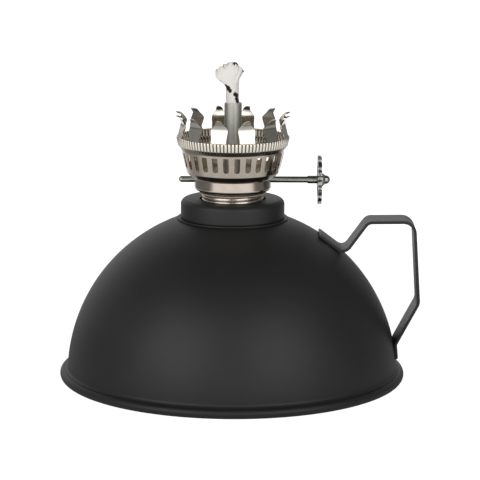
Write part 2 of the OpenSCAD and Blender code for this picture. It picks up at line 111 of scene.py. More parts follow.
def close_mesh():
    """Merges doubles, turns the faces outwards and goes back to object mode."""
    bpy.ops.mesh.select_all(action="SELECT")
    bpy.ops.mesh.remove_doubles(threshold=merge_gap * mm)
    bpy.ops.mesh.normals_make_consistent(inside=False)
    bpy.ops.object.mode_set(mode="OBJECT")


def lathe(name, outline, steps):
    """Turns an outline of (radius, height) points in mm round the lamp's axis.

    The outline is closed, unless it starts and ends on the axis."""
    line = outline + outline[:1] if outline[0][0] else outline
    piece = draw(name, [(r, 0, z) for r, z in line])
    bpy.ops.mesh.spin(steps=steps, angle=math.tau, center=(0, 0, 0), axis=(0, 0, 1))
    close_mesh()
    return piece


def shape(piece, kind, **settings):
    """Adds a modifier to a piece and applies it."""
    made = piece.modifiers.new(kind.title(), kind)
    for name, value in settings.items():
        setattr(made, name, value)
    bpy.context.view_layer.objects.active = piece
    bpy.ops.object.modifier_apply(modifier=made.name)


def soften(piece, width, segments=2, corner=40):
    """Rounds a piece's sharp edges to a width in mm, and shades it smooth.

    An edge is sharp where its faces turn by more than the corner angle, in degrees."""
    if width:
        shape(piece, "BEVEL", width=width * mm, segments=segments, limit_method="ANGLE",
              angle_limit=math.radians(corner), harden_normals=False)
    bpy.ops.object.select_all(action="DESELECT")
    piece.select_set(True)
    bpy.context.view_layer.objects.active = piece
    bpy.ops.object.shade_smooth_by_angle(angle=math.radians(corner))
    shape(piece, "WEIGHTED_NORMAL", keep_sharp=True, weight=60)


def linear(code):
    """An sRGB hex colour as linear RGBA."""
    parts = [int(code[i:i + 2], 16) / 255 for i in (1, 3, 5)]
    return [c / 12.92 if c < 0.04045 else ((c + 0.055) / 1.055) ** 2.4 for c in parts] + [1]


def add(tree, kind, inputs, **settings):
    """Adds a node with its settings. An input is a value or the socket to link to it.

    By number, a Map Range takes its value, from and to limits at 0 to 4, and a Mix of
    colours takes its factor at 0 and its colours at 6 and 7, and gives the mix at 2."""
    made = tree.nodes.new(kind)
    for name, value in settings.items():
        setattr(made, name, value)
    for name, value in inputs.items():
        if isinstance(value, bpy.types.NodeSocket):
            tree.links.new(value, made.inputs[name])
        else:
            made.inputs[name].default_value = value
    return made


def finish_of(name, **sockets):
    """A new material, its node tree and its shader with the given sockets set."""
    made = bpy.data.materials.new(name)
    made.use_nodes = True
    shader = made.node_tree.nodes["Principled BSDF"]
    for socket, value in sockets.items():
        shader.inputs[socket.replace("_", " ")].default_value = value
    return made, made.node_tree, shader


def settle(piece, material, body, slot, *parts):
    """Gives a piece its material and its body, and hides the CAD nodes that it stands in for."""
    piece.data.materials.clear()
    piece.data.materials.append(material)
    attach(piece, body)
    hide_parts(*parts)


# Powder coat on steel: a matt film that levels into a fine orange peel, so highlights are
# broad and soft and the black is never quite even.
def coated(name, smooth, rough):
    """Black powder coat with a grain between two roughnesses."""
    made, tree, shader = finish_of(name, Specular_IOR_Level=0.44)
    place = add(tree, "ShaderNodeTexCoord", {}).outputs["Object"]
    cloud = add(tree, "ShaderNodeTexNoise", {
        "Vector": place, "Scale": 1 / (cloud_size * mm), "Detail": 3})
    tone = add(tree, "ShaderNodeMix", {
        0: cloud.outputs[0], 6: linear(coat_black), 7: linear(coat_pale)}, data_type="RGBA")
    tree.links.new(tone.outputs[2], shader.inputs["Base Color"])
    peel = add(tree, "ShaderNodeTexNoise", {
        "Vector": place, "Scale": 1 / (peel_grain * mm), "Detail": 2})
    gloss = add(tree, "ShaderNodeMapRange", {0: peel.outputs[0], 3: smooth, 4: rough})
    tree.links.new(gloss.outputs[0], shader.inputs["Roughness"])
    dimple = add(tree, "ShaderNodeBump", {
        "Height": peel.outputs[0], "Strength": 0.12, "Distance": peel_depth * mm})
    tree.links.new(dimple.outputs[0], shader.inputs["Normal"])
    return made


powder_coat = coated("powder_coat", 0.44, 0.56)

seat_low, seat_high = corners("seat_ring")
font_low = corners("font_shell")[0]
foot_edge = corners("base_plate")[1]
seat_z, seat_r, hem_top = seat_low.z, seat_high.x, foot_edge.z
dome = arc((seat_r, seat_z), dome_middle, dome_foot, 48)
foot_turn = arc(turn_start, turn_middle, (flange_r, hem_top + seam_gap), 8)
font_line = [(seat_bore, seat_z)] + dome + foot_turn
font = lathe("font_dome", band(font_line, 0, font_sheet), dome_steps)
soften(font, 0.2)
settle(font, powder_coat, "font", "black_coat", "font_shell")

# Base plate: the steel disc that closes the font from below. Its rim is rolled over the
# dome's flange all round, which makes the lamp's foot, and it has the same black coat.
base_sheet, fold_r, fold_in, fold_press = 0.8, 62.9, 1.9, 0.08
hem_r = hem_top / 2
hem_x = foot_edge.x - hem_r
hem = arc((hem_x, 0), (hem_x + hem_r, hem_r), (hem_x, hem_top), 20)
base_outline = [(0, 0)] + hem + [
    (fold_r, hem_top - fold_press), (fold_r, font_low.z), (hem_x - fold_in, font_low.z),
    (hem_x - fold_in, base_sheet), (0, base_sheet)]
base = lathe("rolled_base", base_outline, dome_steps)
soften(base, 0.2)
settle(base, powder_coat, "font", "black_coat", "base_plate")


# Seat ring: a thin steel washer between the dome and the collar, coated with them. Its
# rounded edge shows as a fine lip under the collar.
def plain_ring(inner, outer, low, high):
    """The outline of a ring, or of a rod where the inner radius is 0."""
    return [(inner, low), (outer, low), (outer, high), (inner, high)]


seat = lathe("seat_washer", plain_ring(seat_bore, seat_r, seat_z, seat_high.z), 96)
soften(seat, 0.25)
settle(seat, powder_coat, "font", "black_coat", "seat_ring")

# Collar: a black drawn cap over the threaded bush, with a rounded shoulder and a hole in
# its top that the burner's thread goes through.
collar_low, collar_high = corners("collar")
collar_r, collar_top = collar_high.x, collar_high.z
collar_round, collar_lip, collar_hole, collar_steps = 2.1, 1.5, 12.3, 128
corner_share = 0.293
shoulder_in = corner_share * collar_round
shoulder = arc((collar_r, collar_top - collar_round),
               (collar_r - shoulder_in, collar_top - shoulder_in),
               (collar_r - collar_round, collar_top), 8)
collar_outline = [(seat_bore, collar_low.z), (collar_r, collar_low.z)] + shoulder + [
    (collar_hole, collar_top), (collar_hole, collar_top - collar_lip),
    (seat_bore, collar_top - collar_lip)]
collar = lathe("collar_cap", collar_outline, collar_steps)
soften(collar, 0.3)
settle(collar, powder_coat, "font", "black_coat", "collar")

# Threaded bush inside the collar: turned brass, held up by its flange under the dome. Only
# its upper edge shows round the burner's thread. Turning leaves fine rings on it.
ring_mark, mark_length = 0.3, 33.3
turned_brass, tree, shader = finish_of("turned_brass", Metallic=1.0, Roughness=0.32)
place = add(tree, "ShaderNodeTexCoord", {}).outputs["Object"]
mark_size = (mark_length, mark_length, ring_mark)
stretched = add(tree, "ShaderNodeMapping", {
    "Vector": place, "Scale": [1 / (length * mm) for length in mark_size]})
marks = add(tree, "ShaderNodeTexNoise", {
    "Vector": stretched.outputs[0], "Scale": 1.0, "Detail": 2})
tone = add(tree, "ShaderNodeMix", {
    0: marks.outputs[0], 6: linear("#a98945"), 7: linear("#d9c07e")}, data_type="RGBA")
tree.links.new(tone.outputs[2], shader.inputs["Base Color"])


def dress(part, material):
    """Gives a material to a CAD node, which shows as it is."""
    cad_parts[part].data.materials.clear()
    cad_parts[part].data.materials.append(material)


dress("collar_bush", turned_brass)

# Handle: one strip of black-coated steel, bent over a former and spot-welded to the dome
# at both ends, where it is pressed to the dome's round. Its grip is straight, and hands have
# rubbed its coat a little smoother.
rubbed_coat = coated("rubbed_coat", 0.38, 0.48)
handle_low, handle_high = corners("handle")
strip_w, strip_t, strip_parts = handle_high.y - handle_low.y, 1.1, 8
grip_z, grip_x = handle_high.z - strip_t / 2, handle_high.x - strip_t / 2
dome_round, tab_way = 61.5, (0.6, 0.8)
tab_end, tab_blend = 45, 3
foot_end, foot_blend = 16, 4


def bent(points):
    """A line through (x, z, radius) points, with each corner bent to its radius."""
    line = [points[0][:2]]
    for before, here, after in zip(points, points[1:], points[2:]):
        corner = Vector(here[:2])
        a = (Vector(before[:2]) - corner).normalized()
        b = (Vector(after[:2]) - corner).normalized()
        half = a.angle(b) / 2
        reach = here[2] / math.tan(half)
        middle = corner + (a + b).normalized() * here[2] * (1 / math.sin(half) - 1)
        line += arc(corner + a * reach, middle, corner + b * reach, 8)
    return line + [points[-1][:2]]


def slab(name, outline, along, steps=1):
    """Fills a closed outline and extrudes it by a vector in mm. It is left in edit mode."""
    piece = draw(name, outline + outline[:1])
    bpy.ops.mesh.remove_doubles(threshold=merge_gap * mm)
    bpy.ops.mesh.edge_face_add()
    for k in range(steps):
        step = Vector(along) * mm / steps
        bpy.ops.mesh.extrude_region_move(TRANSFORM_OT_translate={"value": step})
    return piece


handle_line = bent([(32.86, 55.61, 0), (42.2, 48.6, 3.0), (50.7, grip_z - 0.2, 3.2),
                    (grip_x - 2, grip_z, 4.4), (grip_x, 29.5, 4), (61.9, 13.8, 3),
                    (62.45, 8.0, 0)])
handle_edge = band(handle_line, strip_t / 2, strip_t / 2)
handle = slab("strap_handle", [(x, handle_low.y, z) for x, z in handle_edge],
              (0, strip_w, 0), strip_parts)
close_mesh()
for vertex in handle.data.vertices:
    x, y, z = vertex.co / mm
    sag = y ** 2 / (2 * dome_round)
    upper = min(max((tab_end - x) / tab_blend, 0), 1)
    lower = min(max((foot_end - z) / foot_blend, 0), 1)
    vertex.co.x -= sag * mm * (tab_way[0] * upper + lower)
    vertex.co.z -= sag * mm * tab_way[1] * upper
soften(handle, 0.25, 3)
settle(handle, rubbed_coat, "font", "black_coat", "handle")

# Gasket: a buff rubber ring under the burner's cup, which seals it on the collar. Plain
# moulded rubber is dull and a little dusty.
bloom_size = 0.4
gasket_rubber, tree, shader = finish_of("gasket_rubber", Roughness=0.75)
place = add(tree, "ShaderNodeTexCoord", {}).outputs["Object"]
bloom = add(tree, "ShaderNodeTexNoise", {
    "Vector": place, "Scale": 1 / (bloom_size * mm), "Detail": 3})
tone = add(tree, "ShaderNodeMix", {
    0: bloom.outputs[0], 6: linear("#a0958a"), 7: linear("#b5aa9c")}, data_type="RGBA")
tree.links.new(tone.outputs[2], shader.inputs["Base Color"])
dress("burner_gasket", gasket_rubber)

# Threaded skirt: the burner's rolled brass thread, nickel-plated, screwed into the bush.
# Nickel plate is a warm mirror. Handling and old flux leave it faintly cloudy, and thin
# drawn sheet is never quite flat, so reflections ripple. The thread has worn duller.
haze_size, ripple_size, ripple_depth = 3.0, 6.0, 0.06
plate_dark, plate_pale = "#b9ac9e", "#cbc1b6"


def plated(name, dark, pale, smooth, rough):
    """Nickel plate with clouds between two colours and two roughnesses."""
    made, tree, shader = finish_of(name, Metallic=1.0)
    place = add(tree, "ShaderNodeTexCoord", {}).outputs["Object"]
    haze = add(tree, "ShaderNodeTexNoise", {
        "Vector": place, "Scale": 1 / (haze_size * mm), "Detail": 4})
    tone = add(tree, "ShaderNodeMix", {
        0: haze.outputs[0], 6: linear(dark), 7: linear(pale)}, data_type="RGBA")
    tree.links.new(tone.outputs[2], shader.inputs["Base Color"])
    gloss = add(tree, "ShaderNodeMapRange", {0: haze.outputs[0], 3: smooth, 4: rough})
    tree.links.new(gloss.outputs[0], shader.inputs["Roughness"])
    ripple = add(tree, "ShaderNodeTexNoise", {
        "Vector": place, "Scale": 1 / (ripple_size * mm), "Detail": 1})
    uneven = add(tree, "ShaderNodeBump", {
        "Height": ripple.outputs[0], "Strength": 0.3, "Distance": ripple_depth * mm})
    tree.links.new(uneven.outputs[0], shader.inputs["Normal"])
    return made


nickel_plate = plated("nickel_plate", plate_dark, plate_pale, 0.07, 0.18)
worn_plate = plated("worn_nickel", plate_dark, plate_pale, 0.2, 0.34)

skirt_low, skirt_high = corners("threaded_skirt")
thread_pitch, thread_depth, thread_steps = 1.4, 0.8, 64
crest_r, skirt_bore, drill_past = 11.7, 9.7, 6
turns = math.ceil((skirt_high.z - skirt_low.z) / thread_pitch) + 2
crest = ((0, 0.6), (0.08, 0.3), (0.18, 0.03), (0.26, 0), (0.45, 0.05), (0.7, 0.16),
         (0.86, 0.32), (1, 0.6))
wave = [(crest_r - sunk * thread_depth, 0, skirt_low.z + (share - 1) * thread_pitch)
        for share, sunk in crest]
skirt = draw("thread_skirt", wave)
bpy.ops.object.mode_set(mode="OBJECT")
shape(skirt, "SCREW", angle=math.tau, screw_offset=thread_pitch * mm, iterations=turns,
      steps=thread_steps, render_steps=thread_steps, use_merge_vertices=True,
      use_normal_calculate=True)
bpy.ops.object.mode_set(mode="EDIT")
bpy.ops.mesh.select_all(action="SELECT")
bpy.ops.mesh.remove_doubles(threshold=5 * merge_gap * mm)
for height, outward in ((skirt_low.z, -1), (skirt_high.z, 1)):
    bpy.ops.mesh.select_all(action="SELECT")
    bpy.ops.mesh.bisect(plane_co=(0, 0, height * mm), plane_no=(0, 0, outward),
                        clear_outer=True)
bpy.ops.mesh.select_all(action="SELECT")
bpy.ops.mesh.fill_holes(sides=0)
close_mesh()


def cut(piece, cutter, operation="DIFFERENCE"):
    """Cuts a piece with another mesh, which is then deleted."""
    shape(piece, "BOOLEAN", object=cutter, operation=operation, solver="EXACT")
    bpy.data.objects.remove(cutter)


reamer = lathe("reamer", plain_ring(0, skirt_bore, skirt_low.z - drill_past,
                                    skirt_high.z + drill_past), thread_steps)
cut(skirt, reamer)
soften(skirt, 0)
settle(skirt, worn_plate, "burner", "nickel", "threaded_skirt")

# Lower cup: a shallow drum on a narrower foot, drawn from sheet and nickel-plated. It holds
# the raiser, whose shaft goes through a bush in each side.
cup_low, cup_high = corners("lower_cup")
shaft_low, shaft_high = corners("raiser_shaft")
tube_low, tube_high = corners("wick_tube")
shaft_y, shaft_z = (shaft_low.y + shaft_high.y) / 2, (shaft_low.z + shaft_high.z) / 2
shaft_r, bush_wall, bush_play = (shaft_high.z - shaft_low.z) / 2, 0.38, 0.06
cup_r, tube_r = cup_high.x, tube_high.x
cup_sheet, cup_round, cup_foot_r, cup_foot_h, cup_steps = 0.8, 1.3, 12.3, 0.7, 128
drum_z = cup_low.z + cup_foot_h
cup_in = corner_share * cup_round
cup_turn = arc((cup_r - cup_round, drum_z), (cup_r - cup_in, drum_z + cup_in),
               (cup_r, drum_z + cup_round), 10)
cup_line = [(tube_r + seam_gap, cup_low.z), (cup_foot_r, cup_low.z), (cup_foot_r, drum_z)]
cup_line += cup_turn + [(cup_r, cup_high.z)]
cup = lathe("raiser_cup", band(cup_line, cup_sheet, 0), cup_steps)


def across(name, outline, steps=48):
    """Turns an outline of (radius, x) points in mm round the raiser's shaft."""
    line = outline + outline[:1] if outline[0][0] else outline
    piece = draw(name, [(x, shaft_y, shaft_z + r) for r, x in line])
    bpy.ops.mesh.spin(steps=steps, angle=math.tau, axis=(1, 0, 0),
                      center=(0, shaft_y * mm, shaft_z * mm))
    close_mesh()
    return piece


drill_r, drill_end = shaft_r + bush_wall + seam_gap, cup_r + drill_past
drill = across("drill", plain_ring(0, drill_r, -drill_end, drill_end))
cut(cup, drill)
soften(cup, 0.1)
settle(cup, nickel_plate, "burner", "nickel", "lower_cup")

# Air basket: a bowl with a ring of tall slots that let air in round the wick tube. It is
# pressed from thin nickel-plated sheet, with a raised floor over the star wheel.
basket_low, basket_high = corners("air_basket")
sheet, floor_r, floor_rise, cup_lap = 0.6, 13.5, 1.4, 0.35
basket_r, basket_foot_r = basket_high.x, cup_r + cup_lap
floor_z = basket_low.z + floor_rise
slot_n, slot_w, slot_h, slot_drop, slot_turn = 28, 2.1, 5.7, 0.8, 5
slot_top = basket_high.z - slot_drop
slot_foot = slot_top - slot_h
punch_from, punch_depth = 15, 6
bowl = [(basket_foot_r, 0), (16.2, 1.15)] + arc((17.35, 2.3), (17.49, 2.48), (17.57, 2.8), 4)
basket_line = [(tube_r + seam_gap, floor_z), (floor_r, floor_z), (floor_r, basket_low.z)]
basket_line += [(r, basket_low.z + rise) for r, rise in bowl] + [(basket_r, basket_high.z)]
basket = lathe("air_bowl", band(basket_line, sheet, 0), dome_steps)
slot_half = slot_w / 2
slot_edge = [(-slot_half, slot_top)] + arc(
    (-slot_half, slot_foot + slot_half), (0, slot_foot), (slot_half, slot_foot + slot_half), 8)
slot_edge += [(slot_half, slot_top)]
punch = slab("punch", [(punch_from, y, z) for y, z in slot_edge], (punch_depth, 0, 0))


def ring_of(count, centre=(0, 0, 0), axis=(0, 0, 1)):
    """Copies the mesh in edit mode evenly round an axis, and goes back to object mode."""
    bpy.ops.mesh.select_all(action="SELECT")
    bpy.ops.mesh.normals_make_consistent(inside=False)
    bpy.ops.mesh.spin(steps=count - 1, dupli=True, angle=math.tau * (count - 1) / count,
                      center=centre, axis=axis)
    bpy.ops.object.mode_set(mode="OBJECT")


def turn_by(degrees):
    """Turns the active piece round the lamp's axis, and keeps the turn in its mesh."""
    bpy.context.object.rotation_euler.z = math.radians(degrees)
    bpy.ops.object.select_all(action="DESELECT")
    bpy.context.object.select_set(True)
    bpy.ops.object.transform_apply(rotation=True)


ring_of(slot_n)
turn_by(slot_turn - 90)
cut(basket, punch)
soften(basket, 0.16)
settle(basket, nickel_plate, "burner", "nickel", "air_basket")

# Dull plate: inside the bowl the nickel was never polished and has stained brown, so it
# scatters light and hides the far slots.
dull_plate = plated("dull_nickel", "#b8aa94", "#cec1ad", 0.5, 0.6)
basket.data.materials.append(dull_plate)
for face in basket.data.polygons:
    outward = face.normal.to_2d().dot(face.center.to_2d().normalized())
    faces_in, faces_up = outward < -0.5, face.normal.z > 0.7
    face.material_index = int(faces_in or faces_up)

# Gallery: the flared ring on the basket, rolled out of the same sheet. Fine upright flutes
# are pressed right round its bead.
gallery_low, gallery_high = corners("gallery_ring")
gallery_r, gallery_top = gallery_high.x, gallery_high.z
flute_n, flute_depth, rib_columns, bead_h = 96, 0.5, 8, 3.45
# Painted shade on the neck under the bead and on the inside, as shares of the darkest tone.
neck_shade, inner_shade = 0.8, 0.78
bead_z = gallery_top - bead_h
flute_foot = bead_z + 0.1
neck = [(basket_r, gallery_low.z), (basket_r + 0.12, gallery_low.z + 0.25),
        (gallery_r - 0.85, bead_z - 0.05)]
bead = arc((gallery_r - 0.6, bead_z + 0.2), (gallery_r - 0.2, bead_z + 1.9),
           (gallery_r, gallery_top - 0.6), 8)
rim = arc((gallery_r - 0.05, gallery_top - 0.3), (gallery_r - 0.2, gallery_top - 0.08),
          (gallery_r - 0.4, gallery_top), 4)
gallery = lathe("fluted_gallery", band(neck + bead + rim, sheet, 0), rib_columns * flute_n)


def rib_count(vertex):
    """How far round the gallery a vertex lies, counted in ribs."""
    return math.atan2(vertex.co.y, vertex.co.x) / math.tau * flute_n


# Each vertex gets a painted shade value: it rises into the grooves between the ribs, and it is
# high on the neck under the bead and on the inner faces.
groove_shade = gallery.data.attributes.new("groove_shade", "FLOAT", "POINT")
for vertex in gallery.data.vertices:
    off_crest = abs(rib_count(vertex) - round(rib_count(vertex)))
    shade_share = 2 * off_crest if vertex.co.z > flute_foot * mm else neck_shade
    inner = vertex.co.x * vertex.normal.x + vertex.co.y * vertex.normal.y < 0
    groove_shade.data[vertex.index].value = max(shade_share, inner_shade) if inner else shade_share
rib_half = math.pi * gallery_r / flute_n
rib_round = (rib_half ** 2 + flute_depth ** 2) / (2 * flute_depth)
for step in range(1, rib_columns // 2 + 1):
    for vertex in gallery.data.vertices:
        column = round(rib_count(vertex) * rib_columns) % rib_columns
        on_rib = column in (step, rib_columns - step)
        vertex.select = on_rib and vertex.co.z > flute_foot * mm
    bpy.ops.object.mode_set(mode="EDIT")
    bpy.ops.mesh.select_mode(type="VERT")
    off = rib_half * step / (rib_columns / 2)
    pull = 1 - (rib_round - math.sqrt(rib_round ** 2 - off ** 2)) / gallery_r
    bpy.ops.transform.resize(value=(pull, pull, 1), center_override=(0, 0, 0))
    bpy.ops.mesh.select_all(action="DESELECT")
    bpy.ops.object.mode_set(mode="OBJECT")
soften(gallery, 0, corner=27)

# Fluted nickel: the ribs' crests are painted pale as a highlight, and painted shade darkens the
# grooves, the neck under the bead and the inside.
fluted_nickel, tree, shader = finish_of("fluted_nickel", Metallic=1.0, Roughness=0.16)
painted_shade = add(tree, "ShaderNodeAttribute", {}, attribute_name="groove_shade").outputs["Fac"]
groove_darkening = add(tree, "ShaderNodeMapRange", {0: painted_shade, 1: 0.5, 2: 0.92})
# The pale colour is the painted crest highlight, and the dark brown is the painted shade.
tone = add(tree, "ShaderNodeMix", {
    0: groove_darkening.outputs[0], 6: linear("#f2ebdf"), 7: linear("#6b5e50")}, data_type="RGBA")
tree.links.new(tone.outputs[2], shader.inputs["Base Color"])
settle(gallery, fluted_nickel, "burner", "nickel", "gallery_ring")

# Prong crown: twelve spring prongs that rise from the gallery and grip the chimney's foot.
# Each is cut from the formed sheet with a round nub that flares out. Spring sheet is plated
# paler, and the chimneys have scuffed it.
sprung_plate = plated("sprung_nickel", "#c6c0b4", "#dcd7cc", 0.15, 0.28)
crown_low, crown_high = corners("prong_crown")
prong_n, nub_r, nub_half, waist_drop, root_past = 12, 22.4, 1.35, 3.55, 0.3
prong_root, prong_top = crown_low.z - root_past, crown_high.z
waist_z, nub_z = prong_top - waist_drop, prong_top - nub_half
blank_w, die_from, die_depth = 8, 16, 8
prong_line = [(gallery_r - 0.5, prong_root), (20.12, waist_z - 2.95), (19.78, waist_z - 1.75),
              (19.52, waist_z - 0.85)]
prong_line += arc((19.4, waist_z - 0.35), (19.36, waist_z), (19.45, waist_z + 0.45), 4)
prong_line += [(19.68, waist_z + 1.2), (20.06, waist_z + 2.0), (20.85, waist_z + 2.75),
               (nub_r, prong_top)]
prong = slab("prongs", [(r, -blank_w / 2, z) for r, z in band(prong_line, sheet, 0)],
             (0, blank_w, 0))
close_mesh()
prong_half = bent([(2.9, prong_root - 0.2, 0), (2.9, prong_root + 1.9, 3),
                   (3.2, prong_root + 4.1, 2), (3.2, prong_root + 5.3, 0.8),
                   (1.65, prong_root + 7.0, 0.8), (nub_half, nub_z, 0)])
nub = arc((nub_half, nub_z), (0, prong_top), (-nub_half, nub_z), 10)
prong_edge = prong_half + nub[1:] + [(-y, z) for y, z in prong_half[::-1]][1:]
die = slab("die", [(die_from, y, z) for y, z in prong_edge], (die_depth, 0, 0))
close_mesh()
cut(prong, die, "INTERSECT")
soften(prong, 0.1)
bpy.ops.object.mode_set(mode="EDIT")
ring_of(prong_n)
turn_by(180 / prong_n - 90)
settle(prong, sprung_plate, "burner", "nickel", "prong_crown")

# Wick tube: plain drawn steel tube through the burner, soldered under the cup's floor. A
# window in its back lets the star wheel reach the wick. Drawing leaves it faintly streaked,
# and the streaks are coarser than real ones so that they show.
streak_w, streak_l = 0.5, 20.0
tube_wall, window_w, window_h, tube_steps = 0.4, 2.2, 5.0, 64


def drawn(name, dark, pale, smooth, rough, *lengths):
    """Drawn steel with streaks that are as long along X, Y and Z as given in mm."""
    made, tree, shader = finish_of(name, Metallic=1.0)
    place = add(tree, "ShaderNodeTexCoord", {}).outputs["Object"]
    stretched = add(tree, "ShaderNodeMapping", {
        "Vector": place, "Scale": [1 / (length * mm) for length in lengths]})
    streak = add(tree, "ShaderNodeTexNoise", {
        "Vector": stretched.outputs[0], "Scale": 1.0, "Detail": 2})
    tone = add(tree, "ShaderNodeMix", {
        0: streak.outputs[0], 6: linear(dark), 7: linear(pale)}, data_type="RGBA")
    tree.links.new(tone.outputs[2], shader.inputs["Base Color"])
    gloss = add(tree, "ShaderNodeMapRange", {0: streak.outputs[0], 3: smooth, 4: rough})
    tree.links.new(gloss.outputs[0], shader.inputs["Roughness"])
    return made


drawn_steel = drawn("drawn_steel", "#9a9a92", "#ebebe2", 0.38, 0.54,
                    streak_w, streak_w, streak_l)
tube = lathe("steel_wick_tube", plain_ring(tube_r - tube_wall, tube_r, tube_low.z, tube_high.z),
             tube_steps)
bpy.ops.object.select_all(action="DESELECT")
bpy.ops.mesh.primitive_cube_add(size=mm, location=(0, tube_r * mm, shaft_z * mm))
chisel = bpy.context.object
chisel.scale = (window_w, 2 * tube_r, window_h)
bpy.ops.object.transform_apply(location=True, scale=True)
cut(tube, chisel)
soften(tube, 0.12)
settle(tube, drawn_steel, "burner", "steel", "wick_tube")

# Ferrule, clips and star wheel: small turned pieces that stay out of sight. The ferrule is
# soldered round the tube under the cup's floor. The clips and the star wheel sit on the shaft.
dress("tube_ferrule", nickel_plate)
dress("shaft_clips", drawn_steel)
dress("star_wheel", turned_brass)

# Shaft bushes: two short turned rings, nickel-plated like the cup. They are pressed into
# the cup's sides and carry the raiser's shaft.
bush_bore = shaft_r + bush_play
for part in ("shaft_bush_left", "shaft_bush_right"):
    bush_low, bush_high = corners(part)
    bush_r = (bush_high.z - bush_low.z) / 2
    bush = across(part.replace("shaft_", "raiser_"),
                  plain_ring(bush_bore, bush_r, bush_low.x, bush_high.x))
    soften(bush, 0.12)
    settle(bush, nickel_plate, "burner", "nickel", part)

# Raiser shaft: a plain steel rod that turns in the bushes. Its far end is rounded, and its
# near end goes into the thumb wheel's boss.
drawn_rod = drawn("drawn_rod", "#a2a39d", "#b9bab4", 0.22, 0.3, streak_l, streak_w, streak_w)
nose = arc((0, shaft_low.x), (0.7 * shaft_r, shaft_low.x + 0.29 * shaft_r),
           (shaft_r, shaft_low.x + shaft_r), 8)
shaft = across("raiser_rod", nose + [(shaft_r, shaft_high.x), (0, shaft_high.x)])
soften(shaft, 0.1)
settle(shaft, drawn_rod, "raiser", "steel", "raiser_shaft")

# Thumb wheel: a steel disc with scallops round its rim for the fingers, and a thinner web
# that is dished on both sides.
wheel_low, wheel_high = corners("thumb_wheel")
wheel_r, wheel_x = (wheel_high.z - wheel_low.z) / 2, (wheel_low.x + wheel_high.x) / 2
scallop_n, scallop_r, scallop_out, cutter_l = 16, 1.25, 0.4, 6
rim_w, boss_r, dish, dish_slope, wheel_steps = 2.6, 2.5, 0.35, 0.5, 128
web_r, wheel_bore = wheel_r - rim_w, shaft_r + seam_gap
wheel_face = [(wheel_bore, 0), (boss_r, 0), (boss_r + dish_slope, dish),
              (web_r - dish_slope, dish), (web_r, 0), (wheel_r, 0)]
wheel_outline = [(r, wheel_low.x + depth) for r, depth in wheel_face]
wheel_outline += [(r, wheel_high.x - depth) for r, depth in wheel_face[::-1]]
wheel = across("scalloped_wheel", wheel_outline, wheel_steps)
bpy.ops.object.select_all(action="DESELECT")
bpy.ops.mesh.primitive_cylinder_add(vertices=24, radius=scallop_r * mm, depth=cutter_l * mm,
                                    rotation=(0, math.pi / 2, 0))
cutter = bpy.context.object
bpy.ops.object.transform_apply(rotation=True)
bpy.ops.object.mode_set(mode="EDIT")
bpy.ops.mesh.select_all(action="SELECT")
lean, arm = math.pi / scallop_n, wheel_r + scallop_out
bpy.ops.transform.translate(value=(wheel_x * mm, (shaft_y + arm * math.sin(lean)) * mm,
                                   (shaft_z + arm * math.cos(lean)) * mm))
ring_of(scallop_n, (0, shaft_y * mm, shaft_z * mm), (1, 0, 0))
cut(wheel, cutter)
soften(wheel, 0.18)
settle(wheel, drawn_rod, "raiser", "steel", "thumb_wheel")

# Boss: the turned steel button that rivets the thumb wheel to its shaft. It steps down
# from a flat foot to a domed end.
hub_low, hub_high = corners("wheel_hub")
hub_foot, hub_neck = 2.5, 1.65
hub_outline = [(0, hub_low.x), (hub_foot, hub_low.x), (hub_foot, hub_low.x + 0.5)]
hub_outline += arc((hub_foot - 0.1, hub_low.x + 0.6), (2.0, hub_low.x + 1.0),
                   (hub_neck, hub_low.x + 1.5), 5)
hub_outline += arc((hub_neck, hub_low.x + 1.6), (1.2, hub_high.x - 0.5), (0, hub_high.x), 8)
hub = across("wheel_boss", hub_outline)
soften(hub, 0.1)
settle(hub, drawn_rod, "raiser", "steel", "wheel_hub")

# Sleeve: a short steel tube, cut from drawn stock and slid on the shaft. It spaces the
# thumb wheel off.
sleeve_low, sleeve_high = corners("wheel_sleeve")
sleeve_r = (sleeve_high.z - sleeve_low.z) / 2
sleeve = across("wheel_spacer", plain_ring(wheel_bore, sleeve_r, sleeve_low.x, sleeve_high.x))
soften(sleeve, 0.1)
settle(sleeve, drawn_rod, "raiser", "steel", "wheel_sleeve")

# Wick: braided white cotton cord with a black tracer yarn. Above the tube its end has come
# undone into a tuft that leans to one side: a core with loose strands over it. Each ring of
# the core is its height, left and right edge and half depth.
wick_low = corners("wick")[0]
wick_r, hang = 2.5, -0.3
core_rings = [(wick_low.z, -wick_r, wick_r, wick_r), (103.6, -wick_r, wick_r, wick_r),
              (106.0, hang - wick_r, hang + wick_r, wick_r), (110.4, hang - 2.5, hang + 2.45, 2.5),
              (111.4, -3.6, 2.2, 2.45), (112.6, -5.2, 2.3, 2.4), (113.6, -6.2, 2.5, 2.4),
              (114.6, -6.6, 2.7, 2.4), (115.6, -6.65, 3.2, 2.35), (116.6, -6.3, 3.4, 2.25),
              (117.5, -5.0, 2.9, 2.05), (118.4, -3.3, 2.2, 1.7), (119.1, -1.7, 1.5, 1.2),
              (119.5, -0.9, 0.7, 0.6)]
bpy.ops.object.select_all(action="DESELECT")
bpy.ops.mesh.primitive_circle_add(vertices=48, radius=wick_r * mm, fill_type="NGON",
                                  location=(0, 0, wick_low.z * mm))
wick = bpy.context.object
wick.name = "cotton_wick"
bpy.ops.object.transform_apply(location=True)
bpy.ops.object.mode_set(mode="EDIT")
bpy.ops.mesh.select_all(action="SELECT")
for (z0, left0, right0, deep0), (z1, left1, right1, deep1) in zip(core_rings, core_rings[1:]):
    centre0, centre1 = (left0 + right0) / 2, (left1 + right1) / 2
    move = ((centre1 - centre0) * mm, 0, (z1 - z0) * mm)
    bpy.ops.mesh.extrude_region_move(TRANSFORM_OT_translate={"value": move})
    bpy.ops.transform.resize(value=((right1 - left1) / (right0 - left0), deep1 / deep0, 1),
                             center_override=(centre1 * mm, 0, z1 * mm))
close_mesh()
